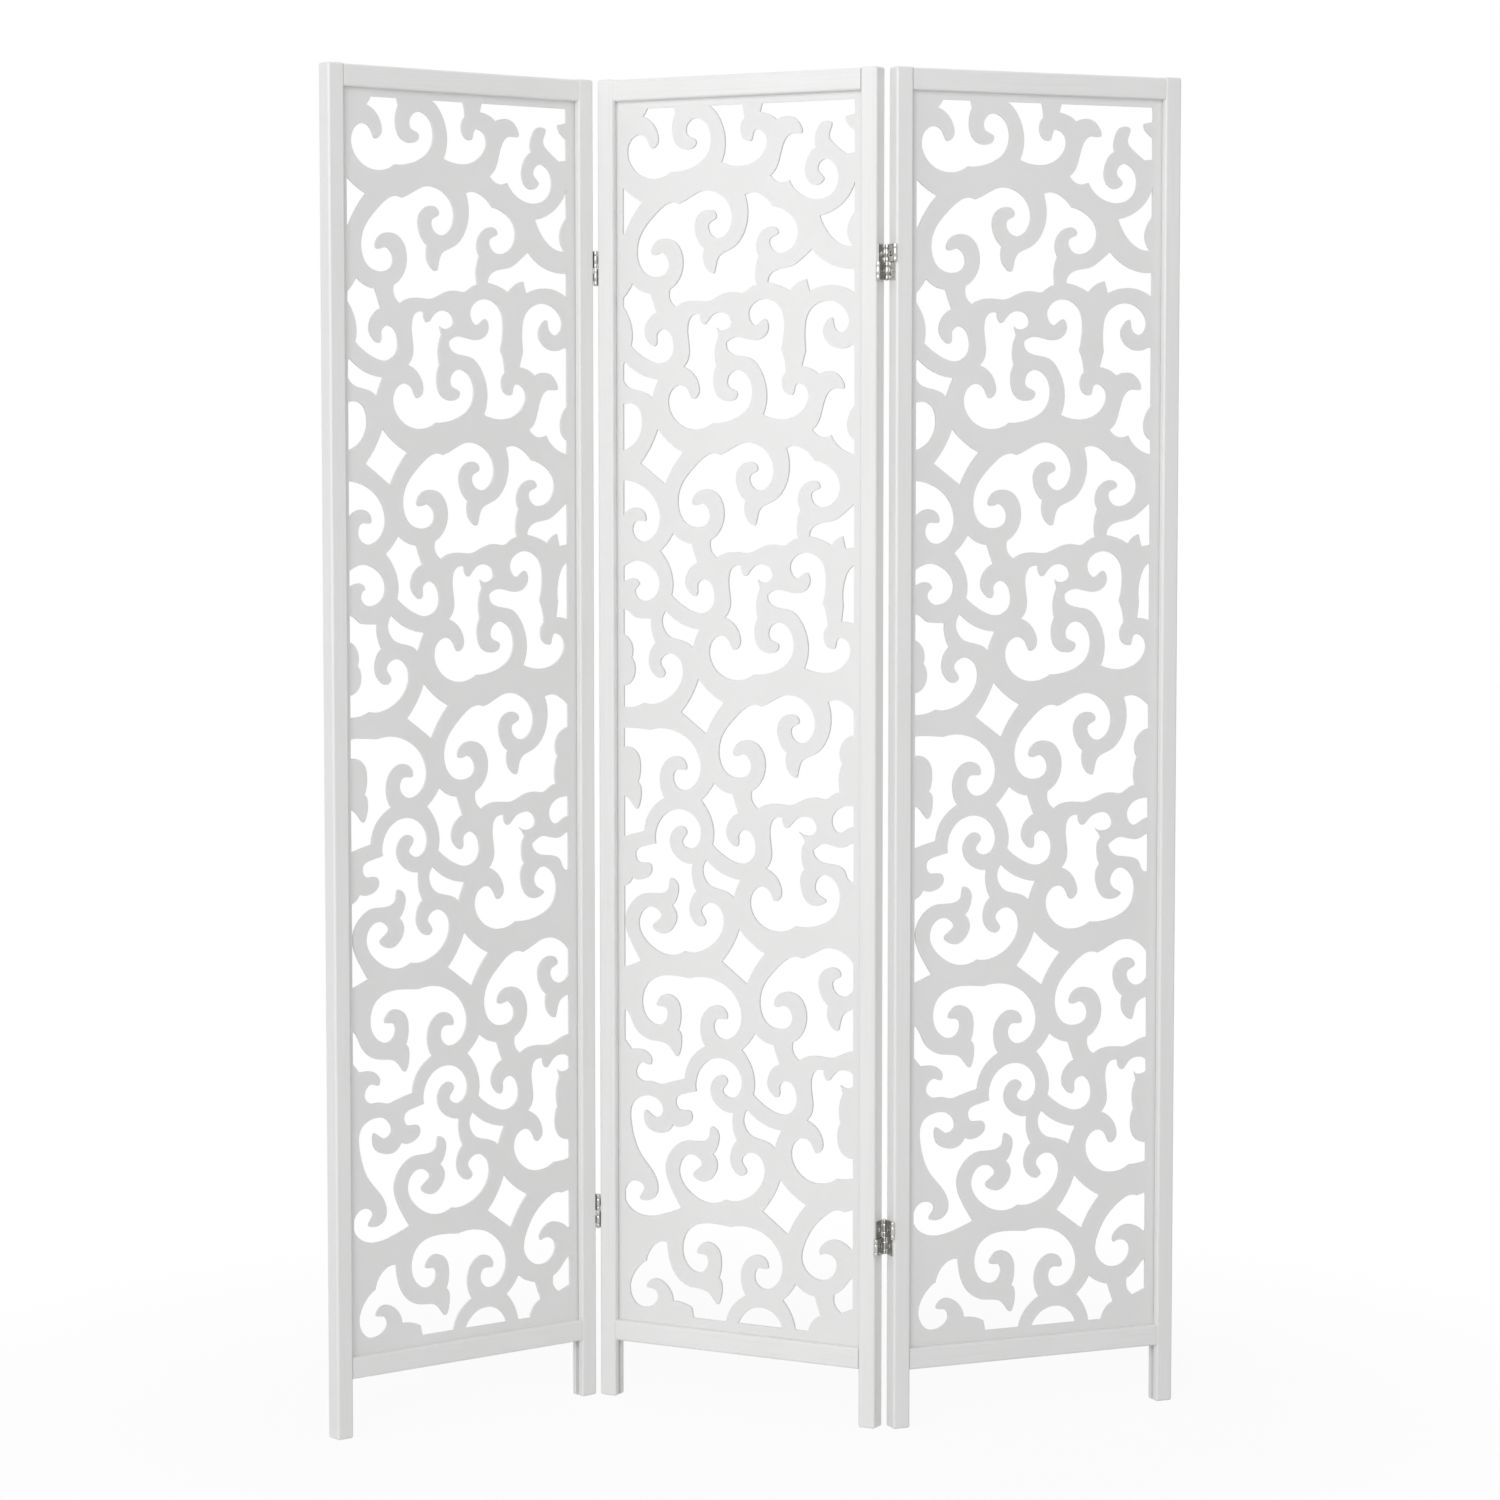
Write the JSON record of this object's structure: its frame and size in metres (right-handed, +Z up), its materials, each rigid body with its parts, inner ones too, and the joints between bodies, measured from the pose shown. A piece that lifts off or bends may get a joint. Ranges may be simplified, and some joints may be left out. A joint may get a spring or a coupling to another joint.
{
  "type": "folding fretwork screen",
  "caption": "Tall folding room divider of white painted wooden frames filled with pierced scroll fretwork; it stands in a zigzag and folds on double-action barrel hinges.",
  "frame": {"origin": "on the floor under the centre of the screen's outer box, as the pictured zigzag stands", "axes": "+Z up; +X runs along the row of panels to the viewer's right; -Y faces the viewer"},
  "size_m": [1.0708, 0.2746, 1.7],
  "materials": {
    "painted_frame": "white satin paint",
    "painted_board": "white satin paint",
    "hinge_steel": "bright nickel plate",
    "pin_steel": "bright nickel plate",
    "screw_steel": "bright zinc plate"
  },
  "bodies": {
    "middle_panel": {"left_lower_hinge_lower_link": "hinge_steel", "left_lower_hinge_lower_pins": "pin_steel", "left_lower_hinge_right_leaf": "hinge_steel", "left_lower_hinge_right_screws": "screw_steel", "left_upper_hinge_lower_link": "hinge_steel", "left_upper_hinge_lower_pins": "pin_steel", "left_upper_hinge_right_leaf": "hinge_steel", "left_upper_hinge_right_screws": "screw_steel", "middle_panel_bottom_rail": "painted_frame", "middle_panel_fretwork_board": "painted_board", "middle_panel_left_stile": "painted_frame", "middle_panel_right_stile": "painted_frame", "middle_panel_top_rail": "painted_frame", "right_lower_hinge_left_leaf": "hinge_steel", "right_lower_hinge_left_screws": "screw_steel", "right_lower_hinge_lower_link": "hinge_steel", "right_lower_hinge_lower_pins": "pin_steel", "right_upper_hinge_left_leaf": "hinge_steel", "right_upper_hinge_left_screws": "screw_steel", "right_upper_hinge_lower_link": "hinge_steel", "right_upper_hinge_lower_pins": "pin_steel"},
    "left_panel": {"left_lower_hinge_left_leaf": "hinge_steel", "left_lower_hinge_left_screws": "screw_steel", "left_lower_hinge_upper_link": "hinge_steel", "left_lower_hinge_upper_pins": "pin_steel", "left_panel_bottom_rail": "painted_frame", "left_panel_fretwork_board": "painted_board", "left_panel_left_stile": "painted_frame", "left_panel_right_stile": "painted_frame", "left_panel_top_rail": "painted_frame", "left_upper_hinge_left_leaf": "hinge_steel", "left_upper_hinge_left_screws": "screw_steel", "left_upper_hinge_upper_link": "hinge_steel", "left_upper_hinge_upper_pins": "pin_steel"},
    "right_panel": {"right_lower_hinge_right_leaf": "hinge_steel", "right_lower_hinge_right_screws": "screw_steel", "right_lower_hinge_upper_link": "hinge_steel", "right_lower_hinge_upper_pins": "pin_steel", "right_panel_bottom_rail": "painted_frame", "right_panel_fretwork_board": "painted_board", "right_panel_left_stile": "painted_frame", "right_panel_right_stile": "painted_frame", "right_panel_top_rail": "painted_frame", "right_upper_hinge_right_leaf": "hinge_steel", "right_upper_hinge_right_screws": "screw_steel", "right_upper_hinge_upper_link": "hinge_steel", "right_upper_hinge_upper_pins": "pin_steel"}
  },
  "joints": [
    {"name": "left_fold", "type": "hinge", "parent": "middle_panel", "child": "left_panel", "pos_m": [-0.2087, 0.11372, 0], "axis": [0, 0, 1], "range_deg": [-67.3, 112.7]},
    {"name": "right_fold", "type": "hinge", "parent": "middle_panel", "child": "right_panel", "pos_m": [0.15871, -0.05765, 0], "axis": [0, 0, 1], "range_deg": [-52.2, 127.8]}
  ]
}
